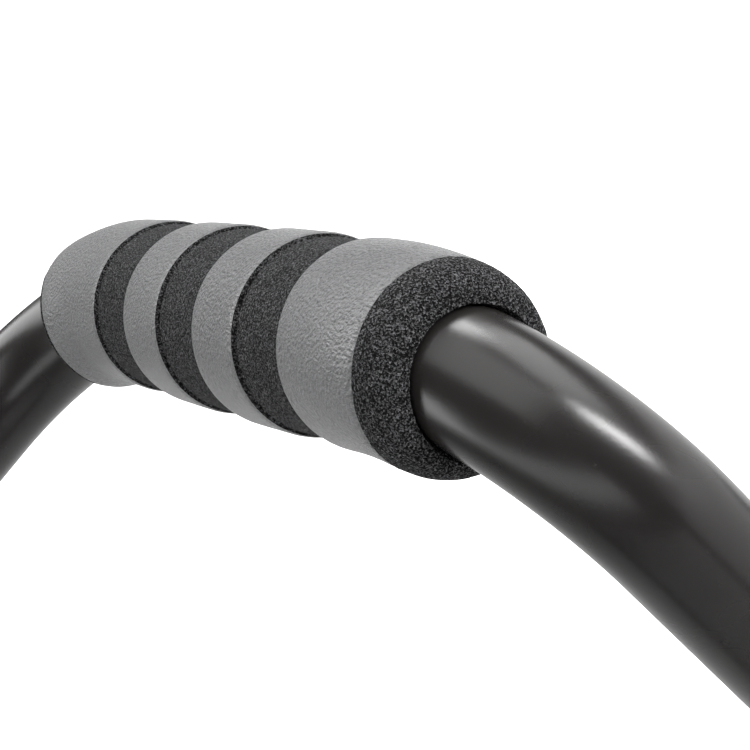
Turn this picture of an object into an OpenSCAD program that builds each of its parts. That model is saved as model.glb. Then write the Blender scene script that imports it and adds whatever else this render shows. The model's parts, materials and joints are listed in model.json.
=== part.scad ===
// Doorway pull up bar with a raised handle loop.
// The hook bar seats on top of the door trim on the far side of the wall, the arms pass
// under the header, and the wide bar leans on the door frame on the user's side.
// Origin: on the underside of the hook rubber. +X right, +Y away from the user, +Z up.

/* [Tube] */
// Outside diameter of every frame tube
tube_d = 28; // [26:0.5:30]
// Wall thickness of the frame tubes
tube_wall = 1.5; // [1.2:0.1:2]
// Centre line radius of the bends
bend_r = 47; // [46:1:50]

/* [Handle loop] */
// Distance between the two side handles, centre to centre
loop_w = 520; // [500:10:560]
// Straight length of a side handle between its bends
handle_straight = 140; // [138:2:150]
// Height of the handles above the trim seat
handle_z = 80; // [70:5:100]

/* [Grips] */
// Outside diameter of the foam
grip_d = 44; // [43:1:45]
// Width of one band of the foam
band_w = 22.5; // [22:0.5:23]
// Whole length of a side grip, along the tube
side_grip_len = 195; // [190:1:198]
// Length of each rounded foam end
grip_end = 11; // [10:0.5:12]
// Depth of the ground grooves
groove_depth = 1.2; // [0.8:0.1:1.5]
// How far the side grips sit off centre, towards the legs
grip_shift = -1; // [-2:1:2]
// How far the grooves of the side grips sit off centre, towards the legs
groove_shift = 4.5; // [3:0.5:6]

/* [Hook and arms] */
// Height of the arms under the trim seat
arm_drop = 110; // [105:1:120]
// Distance of the upright arms behind the seat
hook_y = 30; // [28:1:34]
// Length of the hook bar
hook_len = 580; // [570:10:620]
// How far the front frame can be pulled out
arm_travel = 45; // [20:5:45]

/* [Wide bar] */
// Straight length of the wide bar between its bends
wide_straight = 820; // [800:10:860]
// Straight length of each angled end
wide_end = 150; // [148:2:170]
// Distance between the two door pads
pad_span = 744; // [730:2:750]

/* [Hidden] */
$fn = 48;
eps = 0.01;
tube_r = tube_d / 2;
bore_r = tube_r - tube_wall;
grip_r = grip_d / 2;
side = loop_w / 2;
arm_z = -arm_drop;
// sleeves that the arms slide in, and the sockets that the legs stand in
sleeve_r = tube_r + 3;
slide_gap = 0.1;
fit_gap = 0.1;
leg_y = -185;
sleeve_front = -215;
sleeve_rear = -75;
socket_top = arm_z + 62;
leg_foot = arm_z + sleeve_r + 2;
leg_len = handle_z - bend_r - leg_foot;
handle_rear = leg_y - bend_r;
handle_front = handle_rear - handle_straight;
cross_y = handle_front - bend_r;
cross_len = loop_w - 2 * bend_r;
// arms
arm_inner_y = -200;
arm_straight = hook_y - bend_r - arm_inner_y;
arm_top = 50;
arm_rise = arm_top - arm_z - bend_r;
// hook bar: an angle with a rubber strip under it
rubber_t = 4;
plate_t = 3;
seat_front = -33;
flange_h = 40;
hook_bolt_z = 26;
// wide bar and its clamps
wide_r = 60;
clamp_r = tube_r + 4;
wide_y = -190;
wide_z = arm_z - sleeve_r - tube_r - 3;
clamp_len = 40;
lug_reach = 15;
lug_t = 5;
lug_gap = 1;
// the ends point forwards at a 3-4-5 slope, so every seam has exact coordinates
wide_cos = 0.8;
wide_sin = 0.6;
wide_tip_x = wide_straight / 2 + wide_r * wide_sin + wide_end * wide_cos;
wide_tip_y = wide_y - wide_r * (1 - wide_cos) - wide_end * wide_sin;
// door pads
pad_x = pad_span / 2;
pin_y = wide_y + 26;
pin_r = 3;
pad_face_y = -135;
rubber_pad_t = 13;
pad_plate_t = 4;
pad_w = 64;
// fasteners
m8 = 8;
m6 = 6;
hole_gap = 0.4;
knob_y = -110;
knob_r = 18;
knob_boss = 8;
knob_start = sleeve_r + knob_boss + 1;
// grips, counted in bands
side_bands = 7;
short_bands = 5;
front_grip_x = 95;
wide_grip_gap = 5;

steel_black = [0.05, 0.05, 0.055];
foam_black = [0.09, 0.09, 0.095];
plastic_black = [0.07, 0.07, 0.07];
rubber_black = [0.04, 0.04, 0.04];
zinc = [0.72, 0.72, 0.74];

// ---- shapes that repeat ----

// A flat ring; inner = 0 gives a full disc.
module ring(outer, inner) {
    difference() {
        circle(r = outer, $fn = 48);
        if (inner > 0)
            circle(r = inner, $fn = 48);
    }
}

// A bend that starts at the origin heading +Z and turns towards +X.
module elbow(turn_r, angle, outer, inner) {
    translate([turn_r, 0, 0])
        rotate([90, 0, 0])
            rotate([0, 0, 180 - angle])
                rotate_extrude(angle = angle, $fn = 96)
                    translate([turn_r, 0])
                        ring(outer, inner);
}

// A bar or tube along path, a list of [straight length, bend angle, roll before the bend].
module run(path, outer, inner, turn_r, i = 0) {
    straight = path[i][0];
    angle = path[i][1];
    roll = path[i][2];
    if (straight > 0)
        linear_extrude(height = straight)
            ring(outer, inner);
    translate([0, 0, straight])
        rotate([0, 0, roll]) {
            if (angle > 0)
                elbow(turn_r, angle, outer, inner);
            if (i + 1 < len(path))
                translate([turn_r * (1 - cos(angle)), 0, turn_r * sin(angle)])
                    rotate([0, angle, 0])
                        run(path, outer, inner, turn_r, i + 1);
        }
}

// The same path as a frame tube, open at both ends.
module bent_tube(path, turn_r) {
    run(path, tube_r, bore_r, turn_r);
}

module both_sides() {
    children();
    mirror([1, 0, 0]) children();
}

// The left-hand copy of a part that is drawn on the right.
module on_left() {
    mirror([1, 0, 0]) children();
}

module along_x(h, r) {
    rotate([0, 90, 0]) cylinder(h = h, r = r);
}

module along_y(h, r) {
    rotate([-90, 0, 0]) cylinder(h = h, r = r);
}

// A hexagon bolt that starts under its head at the origin and points along +Z.
module bolt(d, length) {
    translate([0, 0, -0.65 * d])
        cylinder(h = 0.65 * d, r = 0.92 * d, $fn = 6);
    translate([0, 0, -eps])
        cylinder(h = length + eps, r = d / 2);
}

// A hexagon nut that starts at the origin and sits on a bolt along +Z.
module nut(d) {
    difference() {
        cylinder(h = 0.8 * d, r = 0.92 * d, $fn = 6);
        translate([0, 0, -1])
            cylinder(h = d + 2, r = d / 2 + 0.05);
    }
}

// ---- handle loop ----

loop_path = [
    [leg_len, 90, -90], [handle_straight, 90, 90], [cross_len, 90, 0],
    [handle_straight, 90, -90], [leg_len, 0, 0],
];

module handle_loop_tube() {
    color(steel_black)
        difference() {
            translate([-side, leg_y, leg_foot])
                bent_tube(loop_path, bend_r);
            both_sides() leg_bolt_hole();
        }
}

leg_bolt_z = socket_top - 20;

module leg_bolt_hole() {
    translate([side - sleeve_r - 1, leg_y, leg_bolt_z])
        along_x(2 * sleeve_r + 2, (m8 + hole_gap) / 2);
}

module leg_bolts() {
    color(zinc)
        both_sides()
            translate([side + sleeve_r, leg_y, leg_bolt_z])
                rotate([0, -90, 0])
                    bolt(m8, 2 * sleeve_r + 10);
}

module leg_nuts() {
    color(zinc)
        both_sides()
            translate([side - sleeve_r, leg_y, leg_bolt_z])
                rotate([0, -90, 0])
                    nut(m8);
}

// ---- tees: the sleeve, the leg socket, the gusset and the upper half of the clamp ----

module clamp_half_shape(up) {
    intersection() {
        union() {
            translate([side - clamp_len / 2, wide_y, wide_z])
                along_x(clamp_len, clamp_r);
            translate([side - clamp_len / 2, wide_y - clamp_r - lug_reach, wide_z - lug_t - lug_gap])
                cube([clamp_len, 2 * (clamp_r + lug_reach), 2 * (lug_t + lug_gap)]);
        }
        translate([side - 50, wide_y - 50, up ? wide_z + lug_gap : wide_z - 50 - lug_gap])
            cube([100, 100, 50]);
    }
}

module clamp_bolt_places() {
    for (s = [-1, 1], dx = [-12, 12])
        translate([side + dx, wide_y + s * (clamp_r + lug_reach / 2 + 1), wide_z])
            children();
}

module tee() {
    color(steel_black)
        difference() {
            union() {
                translate([side, sleeve_front, arm_z])
                    along_y(sleeve_rear - sleeve_front, sleeve_r);
                translate([side, leg_y, arm_z])
                    cylinder(h = socket_top - arm_z, r = sleeve_r);
                translate([side - 2.5, 0, 0])
                    rotate([90, 0, 90])
                        linear_extrude(height = 5)
                            polygon([[leg_y + 12, arm_z + 12], [leg_y + 46, arm_z + 12],
                                     [leg_y + 46, arm_z + 20], [leg_y + 20, socket_top - 6],
                                     [leg_y + 12, socket_top - 6]]);
                translate([side - sleeve_r - knob_boss, knob_y, arm_z])
                    along_x(knob_boss + 8, 9);
                clamp_half_shape(true);
            }
            translate([side, sleeve_front - 1, arm_z])
                along_y(sleeve_rear - sleeve_front + 2, tube_r + slide_gap);
            translate([side, leg_y, leg_foot])
                cylinder(h = 100, r = tube_r + fit_gap);
            translate([side - 40, wide_y, wide_z])
                along_x(80, tube_r);
            leg_bolt_hole();
            translate([side - 40, knob_y, arm_z])
                along_x(40, m8 / 2 + 0.1);
            clamp_bolt_places()
                cylinder(h = 20, r = (m6 + hole_gap) / 2, center = true);
        }
}

module clamp_cap() {
    color(steel_black)
        difference() {
            clamp_half_shape(false);
            translate([side - 40, wide_y, wide_z])
                along_x(80, tube_r);
            clamp_bolt_places()
                cylinder(h = 20, r = (m6 + hole_gap) / 2, center = true);
        }
}

module clamp_bolts() {
    color(zinc)
        both_sides()
            clamp_bolt_places()
                translate([0, 0, -lug_t - lug_gap])
                    bolt(m6, 2 * (lug_t + lug_gap) + 7);
}

module clamp_nuts() {
    color(zinc)
        both_sides()
            clamp_bolt_places()
                translate([0, 0, lug_t + lug_gap])
                    nut(m6);
}

module sleeve_plug() {
    color(plastic_black)
        translate([side, sleeve_front, arm_z]) {
            translate([0, -4, 0])
                along_y(4, sleeve_r);
            translate([0, -eps, 0])
                along_y(8, tube_r);
        }
}

module sleeve_collar() {
    color(plastic_black)
        translate([side, sleeve_rear, arm_z])
            difference() {
                translate([0, -8, 0])
                    along_y(14, sleeve_r + 2.5);
                translate([0, -9, 0])
                    along_y(9, sleeve_r);
                translate([0, -9, 0])
                    along_y(20, tube_r + slide_gap);
            }
}

// ---- wide bar ----

// Turns +X into the direction of the right-hand end.
wide_turn = [
    [wide_cos, wide_sin, 0, 0],
    [-wide_sin, wide_cos, 0, 0],
    [0, 0, 1, 0],
];

// The right-hand end from the start of its bend: bend and straight.
module wide_bar_end() {
    reach = 2 * wide_r;
    translate([wide_straight / 2, -wide_r, 0]) {
        intersection() {
            rotate_extrude($fn = 96)
                translate([wide_r, 0])
                    ring(tube_r, bore_r);
            linear_extrude(height = 2 * tube_d, center = true)
                polygon([[0, 0], [0, reach], [reach * wide_sin, reach],
                         [reach * wide_sin, reach * wide_cos]]);
        }
        translate([wide_r * wide_sin, wide_r * wide_cos, 0])
            multmatrix(wide_turn)
                rotate([0, 90, 0])
                    linear_extrude(height = wide_end)
                        ring(tube_r, bore_r);
    }
}

module wide_bar_tube() {
    color(steel_black)
        translate([0, wide_y, wide_z]) {
            both_sides() wide_bar_end();
            rotate([0, 90, 0])
                linear_extrude(height = wide_straight, center = true)
                    ring(tube_r, bore_r);
        }
}

// Puts a part drawn along +Z from the origin on the right-hand tip of the wide bar, pointing inwards.
module at_wide_tip() {
    translate([wide_tip_x, wide_tip_y, wide_z])
        multmatrix(wide_turn)
            rotate([0, -90, 0])
                children();
}

module wide_end_cap() {
    color(plastic_black)
        at_wide_tip() {
            translate([0, 0, -4])
                cylinder(h = 4, r1 = tube_r - 3, r2 = tube_r + 1);
            translate([0, 0, -eps])
                cylinder(h = 15, r = bore_r);
        }
}

// ---- foam grips ----

// A straight grip along +Z, centred on the origin: rounded ends, with a ground groove in every other band.
module straight_grip(bands) {
    half = bands * band_w / 2 + grip_end;
    inner = tube_r;
    round_r = grip_end;
    color(foam_black)
        rotate_extrude()
            difference() {
                union() {
                    translate([inner, -half + round_r])
                        square([grip_r - inner, 2 * (half - round_r)]);
                    translate([inner, -half + 2])
                        square([grip_r - inner - 3, 2 * (half - 2)]);
                    translate([inner, -half])
                        square([grip_r - inner - 5, 2 * half]);
                }
                for (i = [1 : 2 : bands - 2])
                    translate([grip_r - groove_depth, (i - bands / 2) * band_w])
                        square([groove_depth + 1, band_w]);
            }
}

// A side grip follows the tube a little way into the bend at each end.
side_half = side_grip_len / 2;
rear_turn = (side_half + grip_shift - handle_straight / 2) / bend_r * 180 / PI;
front_turn = (side_half - grip_shift - handle_straight / 2) / bend_r * 180 / PI;

// The foam runs on round both bends, and is then cut square to the bend at each end.
side_foam_path = [[handle_straight, 90, 180]];

module side_foam(outer, inner) {
    big = 4 * grip_d;
    half = handle_straight / 2;
    difference() {
        union() {
            rotate([90, 0, 0])
                translate([0, 0, -half])
                    run(side_foam_path, outer, inner, bend_r);
            translate([0, half, 0])
                rotate([-90, 0, 0])
                    rotate([0, 0, 90])
                        elbow(bend_r, 90, outer, inner);
        }
        translate([0, half, -bend_r])
            rotate([-rear_turn, 0, 0])
                translate([-big / 2, 0, -big / 2])
                    cube([big, big, big]);
        translate([-bend_r, -half, 0])
            rotate([0, 0, -front_turn])
                translate([-big / 2, -big, -big / 2])
                    cube([big, big, big]);
    }
}

module side_grip() {
    color(foam_black)
        translate([side, handle_rear - handle_straight / 2, handle_z])
            difference() {
                side_foam(grip_r, tube_r);
                for (i = [1 : 2 : side_bands - 2])
                    translate([0, groove_shift + (i - side_bands / 2) * band_w, 0])
                        difference() {
                            along_y(band_w, grip_r + 1);
                            translate([0, -1, 0])
                                along_y(band_w + 2, grip_r - groove_depth);
                        }
            }
}

module front_grip() {
    translate([front_grip_x, cross_y, handle_z])
        rotate([0, 90, 0])
            straight_grip(short_bands);
}

module wide_grip() {
    at_wide_tip()
        translate([0, 0, wide_grip_gap + short_bands * band_w / 2 + grip_end])
            straight_grip(short_bands);
}

// ---- hook frame ----

arm_path = [[arm_straight, 90, -90], [arm_rise, 0, 0]];

module arm_tube() {
    color(steel_black)
        difference() {
            translate([side, arm_inner_y, arm_z])
                rotate([-90, 0, 0])
                    bent_tube(arm_path, bend_r);
            hook_bolt_hole();
        }
}

module hook_bolt_hole() {
    translate([side, hook_y - tube_r - 20, hook_bolt_z])
        along_y(2 * tube_r + 40, (m8 + hole_gap) / 2);
}

module arm_top_cap() {
    color(plastic_black)
        translate([side, hook_y, arm_top]) {
            cylinder(h = 4, r1 = tube_r + 1, r2 = tube_r - 3);
            translate([0, 0, -12])
                cylinder(h = 12 + eps, r = bore_r);
        }
}

module arm_end_plug() {
    color(plastic_black)
        translate([side, arm_inner_y, arm_z]) {
            translate([0, -3, 0])
                along_y(3, tube_r);
            translate([0, -eps, 0])
                along_y(12, bore_r);
        }
}

plate_rear = hook_y - tube_r;

module hook_bar() {
    color(steel_black)
        difference() {
            rotate([90, 0, 90])
                linear_extrude(height = hook_len, center = true)
                    polygon([[seat_front + 3, rubber_t], [plate_rear, rubber_t],
                             [plate_rear, rubber_t + flange_h],
                             [plate_rear - plate_t, rubber_t + flange_h],
                             [plate_rear - plate_t, rubber_t + plate_t],
                             [seat_front + 3, rubber_t + plate_t]]);
            both_sides() hook_bolt_hole();
        }
}

module hook_rubber() {
    lip_top = rubber_t + plate_t + 3;
    color(rubber_black)
        rotate([90, 0, 90])
            linear_extrude(height = hook_len - 20, center = true)
                polygon([[seat_front, 0], [plate_rear - plate_t, 0],
                         [plate_rear - plate_t, rubber_t], [seat_front + 3, rubber_t],
                         [seat_front + 3, rubber_t + plate_t],
                         [seat_front + 16, rubber_t + plate_t], [seat_front + 16, lip_top],
                         [seat_front, lip_top]]);
}

module hook_bolts() {
    color(zinc)
        both_sides()
            translate([side, plate_rear - plate_t, hook_bolt_z])
                rotate([-90, 0, 0])
                    bolt(m8, plate_t + tube_d + 12);
}

module hook_washers() {
    color(zinc)
        both_sides()
            translate([side, hook_y + tube_r, hook_bolt_z])
                difference() {
                    along_y(1.6, 8);
                    translate([0, -1, 0])
                        along_y(4, m8 / 2 + 0.2);
                }
}

module hook_nuts() {
    color(zinc)
        both_sides()
            translate([side, hook_y + tube_r + 1.6, hook_bolt_z])
                rotate([-90, 0, 0])
                    nut(m8);
}

// ---- clamp knobs, on the inner side of each sleeve ----

knob_x = side - knob_start;

module knob_outline() {
    circle(r = knob_r - 3);
    for (a = [20 : 60 : 320])
        rotate(a)
            translate([knob_r - 4.5, 0])
                circle(r = 4.5);
}

module knob_head() {
    color(plastic_black)
        translate([knob_x, knob_y, arm_z])
            rotate([0, -90, 0])
                difference() {
                    union() {
                        cylinder(h = 6, r = 8);
                        translate([0, 0, 4])
                            linear_extrude(height = 14)
                                knob_outline();
                    }
                    translate([0, 0, -1])
                        cylinder(h = 13, r = m8 / 2);
                }
}

module knob_screw() {
    color(zinc)
        translate([knob_x - 12, knob_y, arm_z])
            along_x(12 + knob_start - tube_r - 0.3, m8 / 2);
}

// ---- door pads ----

module pad_bracket() {
    ear_z = 12.5;
    ear_t = 5;
    color(plastic_black)
        difference() {
            union() {
                translate([pad_x - 17, wide_y, wide_z])
                    along_x(34, tube_r + 4.5);
                for (z = [-ear_z - ear_t, ear_z])
                    translate([pad_x, 0, wide_z + z]) {
                        translate([-8, wide_y, 0])
                            cube([16, pin_y - wide_y, ear_t]);
                        translate([0, pin_y, 0])
                            cylinder(h = ear_t, r = 7);
                    }
            }
            translate([pad_x - 18, wide_y, wide_z])
                along_x(36, tube_r);
            translate([pad_x, pin_y, wide_z - 30])
                cylinder(h = 60, r = pin_r);
        }
}

module pad_pins() {
    color(zinc)
        both_sides()
            translate([pad_x, pin_y, wide_z - 18.5]) {
                cylinder(h = 37, r = pin_r);
                translate([0, 0, 36])
                    cylinder(h = 2.5, r = 5.5);
            }
}

pad_plate_y = pad_face_y - rubber_pad_t - pad_plate_t;

module pad_plate() {
    color(plastic_black)
        difference() {
            union() {
                translate([pad_x - pad_w / 2, pad_plate_y, wide_z - pad_w / 2])
                    cube([pad_w, pad_plate_t, pad_w]);
                translate([pad_x, pin_y, wide_z - 12])
                    cylinder(h = 24, r = 6.5);
                translate([pad_x - 5, pin_y, wide_z - 12])
                    cube([10, pad_plate_y - pin_y + 1, 24]);
            }
            translate([pad_x, pin_y, wide_z - 30])
                cylinder(h = 60, r = pin_r + 0.06);
        }
}

module pad_rubber() {
    color(rubber_black)
        translate([pad_x - pad_w / 2, pad_face_y - rubber_pad_t, wide_z - pad_w / 2])
            cube([pad_w, rubber_pad_t, pad_w]);
}

// ---- the nodes ----

handle_loop_tube();
on_left() tee();  // left_tee
tee();  // right_tee
wide_bar_tube();
on_left() clamp_cap();  // left_clamp_cap
clamp_cap();  // right_clamp_cap
clamp_bolts();
clamp_nuts();
leg_bolts();
leg_nuts();
on_left() side_grip();  // left_side_grip
side_grip();  // right_side_grip
on_left() front_grip();  // left_front_grip
front_grip();  // right_front_grip
on_left() wide_grip();  // left_wide_grip
wide_grip();  // right_wide_grip
on_left() wide_end_cap();  // left_wide_end_cap
wide_end_cap();  // right_wide_end_cap
on_left() sleeve_plug();  // left_sleeve_plug
sleeve_plug();  // right_sleeve_plug
on_left() sleeve_collar();  // left_sleeve_collar
sleeve_collar();  // right_sleeve_collar
on_left() arm_tube();  // left_arm_tube
arm_tube();  // right_arm_tube
on_left() arm_top_cap();  // left_arm_top_cap
arm_top_cap();  // right_arm_top_cap
on_left() arm_end_plug();  // left_arm_end_plug
arm_end_plug();  // right_arm_end_plug
hook_bar();
hook_rubber();
hook_bolts();
hook_washers();
hook_nuts();
on_left() knob_head();  // left_knob_head
knob_head();  // right_knob_head
on_left() knob_screw();  // left_knob_screw
knob_screw();  // right_knob_screw
on_left() pad_bracket();  // left_pad_bracket
pad_bracket();  // right_pad_bracket
pad_pins();
on_left() pad_plate();  // left_pad_plate
pad_plate();  // right_pad_plate
on_left() pad_rubber();  // left_pad_rubber
pad_rubber();  // right_pad_rubber
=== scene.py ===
"""Doorway pull up bar: striped foam grips, frame tubes, fittings and finishes on the packed frame."""

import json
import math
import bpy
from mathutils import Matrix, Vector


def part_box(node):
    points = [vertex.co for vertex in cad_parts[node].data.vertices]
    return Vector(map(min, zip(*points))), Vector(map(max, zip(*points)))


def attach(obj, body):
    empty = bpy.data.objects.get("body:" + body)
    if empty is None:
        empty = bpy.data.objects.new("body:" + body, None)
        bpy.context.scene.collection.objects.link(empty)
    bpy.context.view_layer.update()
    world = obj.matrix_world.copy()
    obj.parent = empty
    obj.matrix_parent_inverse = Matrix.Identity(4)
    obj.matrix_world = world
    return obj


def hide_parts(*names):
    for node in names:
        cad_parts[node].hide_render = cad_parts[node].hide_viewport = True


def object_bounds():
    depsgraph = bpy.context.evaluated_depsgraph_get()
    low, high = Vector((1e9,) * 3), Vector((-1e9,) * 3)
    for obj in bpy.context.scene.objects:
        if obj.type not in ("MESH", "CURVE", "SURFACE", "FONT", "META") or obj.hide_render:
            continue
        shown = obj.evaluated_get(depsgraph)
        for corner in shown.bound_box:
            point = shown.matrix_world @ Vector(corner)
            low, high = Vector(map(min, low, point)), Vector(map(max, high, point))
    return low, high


bl_info = {
    "name": "Pull Up Bar",
    "version": (1, 0, 0),
    "blender": (4, 5, 0),
    "location": "3D View > Sidebar > Pull Up Bar",
    "description": "Builds the foam grips, tubes, fittings and finishes of a doorway pull up bar",
    "category": "Object",
}

import bmesh
import bpy
import numpy as np
from bpy.props import FloatProperty, FloatVectorProperty, PointerProperty
from mathutils import Matrix

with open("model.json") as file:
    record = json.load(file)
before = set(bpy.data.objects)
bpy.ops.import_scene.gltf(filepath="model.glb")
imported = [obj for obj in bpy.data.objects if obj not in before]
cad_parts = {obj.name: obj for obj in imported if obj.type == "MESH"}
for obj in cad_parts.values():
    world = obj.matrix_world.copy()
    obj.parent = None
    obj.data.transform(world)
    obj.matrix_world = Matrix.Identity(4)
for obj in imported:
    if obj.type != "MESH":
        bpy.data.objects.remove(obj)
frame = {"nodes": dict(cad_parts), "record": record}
NODES = frame["nodes"]
CAD_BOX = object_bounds()

X = np.array([1.0, 0.0, 0.0])
Y = np.array([0.0, 1.0, 0.0])
Z = np.array([0.0, 0.0, 1.0])
SIDES = (("left", -1.0), ("right", 1.0))
QUARTER = math.pi / 2
# each end of the wide bar slopes forwards, 3 for every 5 along it
END_COS, END_SIN = 0.8, 0.6


def corners(node):
    """Lowest and highest corner of a CAD node, as arrays."""
    lo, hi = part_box(node)
    return np.array(lo), np.array(hi)


def middle(node):
    """Centre of a CAD node's box."""
    lo, hi = corners(node)
    return (lo + hi) / 2


# centre lines of the tubes, from the boxes of the solids that they stand for
ARM_LO, ARM_HI = corners("right_arm_tube")
LOOP_LO, LOOP_HI = corners("handle_loop_tube")
WIDE_LO, WIDE_HI = corners("wide_bar_tube")
TUBE_R = float(ARM_HI[0] - ARM_LO[0]) / 2
SIDE_X = float(ARM_HI[0]) - TUBE_R
HANDLE_Z = float(LOOP_HI[2]) - TUBE_R
LEG_Y = float(LOOP_HI[1]) - TUBE_R
FRONT_Y = float(LOOP_LO[1]) + TUBE_R
ARM_Z = float(ARM_LO[2]) + TUBE_R
HOOK_Y = float(ARM_HI[1]) - TUBE_R
WIDE_Y = float(WIDE_HI[1]) - TUBE_R
WIDE_Z = float(WIDE_LO[2] + WIDE_HI[2]) / 2


# ---------------------------------------------------------------- sizes and colours


def metres(label, description, default):
    """A size in metres that a user may change."""
    return FloatProperty(name=label, description=description, default=default, unit="LENGTH")


def watts(label, description, default):
    """The power of a lamp."""
    return FloatProperty(name=label, description=description, default=default, min=0)


def colour(label, default):
    """A colour that a user may change."""
    words = label + " colour"
    return FloatVectorProperty(name=label, description=words, default=default, subtype="COLOR", min=0, max=1)


class GripSizes(bpy.types.PropertyGroup):
    """Sizes of the foam"""

    radius: metres("Foam radius", "Outside radius of the foam", 0.0221)
    pinch: metres("Pinch", "How much thinner the foam is where it reaches a bend", 0.0012)
    band: metres("Band", "Width of one stripe", 0.02245)
    end_band: metres("End band", "Width of the last grey stripe", 0.0263)
    groove: metres("Groove", "Depth of the ground stripes", 0.0010)
    nose: metres("Nose", "Length over which the ends round off", 0.0100)
    half: metres("Half length", "Half of a side grip", 0.0978)
    shift: metres("Shift", "Side grips off centre, towards the legs", -0.0014)
    stripes: metres("Stripes", "Stripes of the side grips off centre", 0.0065)
    slant: metres("Slant", "How far the foam is pushed back on the outside of a bend", 0.0047)


class FrameSizes(bpy.types.PropertyGroup):
    """Sizes of the bent tubes"""

    bend: metres("Bend", "Centre line radius of the bends", 0.047)
    wall: metres("Wall", "Wall thickness", 0.0015)
    wide_bend: metres("Wide bend", "Bend radius of the wide bar", 0.06)
    wide_straight: metres("Wide straight", "Straight of the wide bar", 0.82)


class Finish(bpy.types.PropertyGroup):
    """Colours of the finishes"""

    paint: colour("Frame paint", (0.0075, 0.0067, 0.0064))
    foam_skin: colour("Foam skin", (0.168, 0.169, 0.172))
    foam_core: colour("Foam core", (0.0100, 0.0100, 0.0104))
    plastic: colour("Plastic", (0.022, 0.022, 0.023))
    rubber: colour("Rubber", (0.017, 0.017, 0.017))
    zinc: colour("Zinc plate", (0.62, 0.63, 0.66))


class StageLook(bpy.types.PropertyGroup):
    """Floor, light and lens"""

    floor: colour("Floor", (0.86, 0.86, 0.86))
    key: watts("Key", "Power of the large soft light", 20.0)
    strip: watts("Strip", "Power of the strip light", 28.0)
    sweep: watts("Sweep", "Power of the light on the floor behind", 95.0)
    lens: FloatProperty(name="Lens", description="Focal length in millimetres", default=92.7, min=10)


# ---------------------------------------------------------------- surfaces


def mesh_object(name, points, quads, tris=None, rows=None):
    """An object at the origin with these points and faces, its normals pointing outwards."""
    mesh = bpy.data.meshes.new(name)
    quads = np.asarray(quads, np.int32).reshape(-1, 4)
    tris = np.zeros((0, 3), np.int32) if tris is None else np.asarray(tris, np.int32).reshape(-1, 3)
    sizes = np.concatenate([np.full(len(quads), 4), np.full(len(tris), 3)]).astype(np.int32)
    mesh.vertices.add(len(points))
    mesh.vertices.foreach_set("co", np.asarray(points, np.float32).ravel())
    mesh.loops.add(int(sizes.sum()))
    mesh.loops.foreach_set("vertex_index", np.concatenate([quads.ravel(), tris.ravel()]).astype(np.int32))
    mesh.polygons.add(len(sizes))
    mesh.polygons.foreach_set("loop_start", np.concatenate([[0], np.cumsum(sizes)[:-1]]).astype(np.int32))
    mesh.polygons.foreach_set("loop_total", sizes)
    mesh.polygons.foreach_set("use_smooth", np.ones(len(sizes), bool))
    if rows is not None:
        mesh.polygons.foreach_set("material_index", np.asarray(rows, np.int32))
    mesh.update(calc_edges=True)
    mesh.validate()
    work = bmesh.new()
    work.from_mesh(mesh)
    bmesh.ops.recalc_face_normals(work, faces=work.faces)
    work.to_mesh(mesh)
    work.free()
    piece = bpy.data.objects.new(name, mesh)
    bpy.context.scene.collection.objects.link(piece)
    return piece


def grid_faces(m, n, wrap_rows, wrap_around):
    """Quads of an m by n grid of points, joined end to end where asked."""
    row = np.arange(m if wrap_rows else m - 1)
    turn = np.arange(n if wrap_around else n - 1)
    i, j = (corner.ravel() for corner in np.meshgrid(row, turn, indexing="ij"))
    a, b = (i + 1) % m, (j + 1) % n
    return np.stack([i * n + j, i * n + b, a * n + b, a * n + j], -1)


def ring_surface(name, grid, ends="open", rows=None):
    """A surface through rings of points, where rows numbers the material of the faces after each ring.
    ends is "joined" for a closed wall, "capped" for a fan at each end, or "open"."""
    m, n = grid.shape[:2]
    points = grid.reshape(-1, 3)
    quads = grid_faces(m, n, ends == "joined", True)
    index = None if rows is None else np.repeat(rows, n)
    tris = None
    if ends == "capped":
        points = np.concatenate([points, grid[0].mean(0)[None], grid[-1].mean(0)[None]])
        j = np.arange(n)
        k = (j + 1) % n
        first = np.stack([np.full(n, m * n), k, j], -1)
        last = np.stack([np.full(n, m * n + 1), (m - 1) * n + j, (m - 1) * n + k], -1)
        tris = np.concatenate([first, last])
    return mesh_object(name, points, quads, tris, index)


def turned(vector, axis, angle):
    """vector turned about axis: v cos a + (k x v) sin a + k (k . v)(1 - cos a), for an array of angles."""
    c, s = np.cos(angle)[:, None], np.sin(angle)[:, None]
    return vector * c + np.cross(axis, vector) * s + axis * np.dot(axis, vector) * (1 - c)


def straight(run):
    """A straight part of a tube's line."""
    return run, 0, None


def arc(angle, radius, towards):
    """A bend in a tube's line, which turns towards a direction."""
    return radius * angle, radius, towards


def follow(start, heading, up, parts, s, ease=None):
    """Points and frames at the distances s along straights and arcs.
    A straight is p + t h. An arc is p + r sin a h + r (1 - cos a) d, and turns the frame by a or ease(a)."""
    p, h, n = np.array(start, float), np.array(heading, float), np.array(up, float)
    place, ahead, normal = (np.zeros((len(s), 3)) for _ in range(3))
    at = 0.0
    for k, (length, radius, towards) in enumerate(parts):
        here = s >= at if k else np.ones(len(s), bool)
        t = s[here] - at
        if radius:
            d = np.array(towards, float)
            axis = np.cross(h, d)
            a = t / radius
            shown = ease(a) if ease else a
            place[here] = p + radius * (np.sin(a)[:, None] * h + (1 - np.cos(a))[:, None] * d)
            ahead[here] = turned(h, axis, shown)
            normal[here] = turned(n, axis, shown)
            full = np.array([length / radius])
            p = p + radius * (math.sin(full[0]) * h + (1 - math.cos(full[0])) * d)
            h, n = turned(h, axis, full)[0], turned(n, axis, full)[0]
        else:
            place[here] = p + t[:, None] * h
            ahead[here], normal[here] = h, n
            p = p + length * h
        at += length
    return place, ahead, normal, np.cross(ahead, normal)


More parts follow.
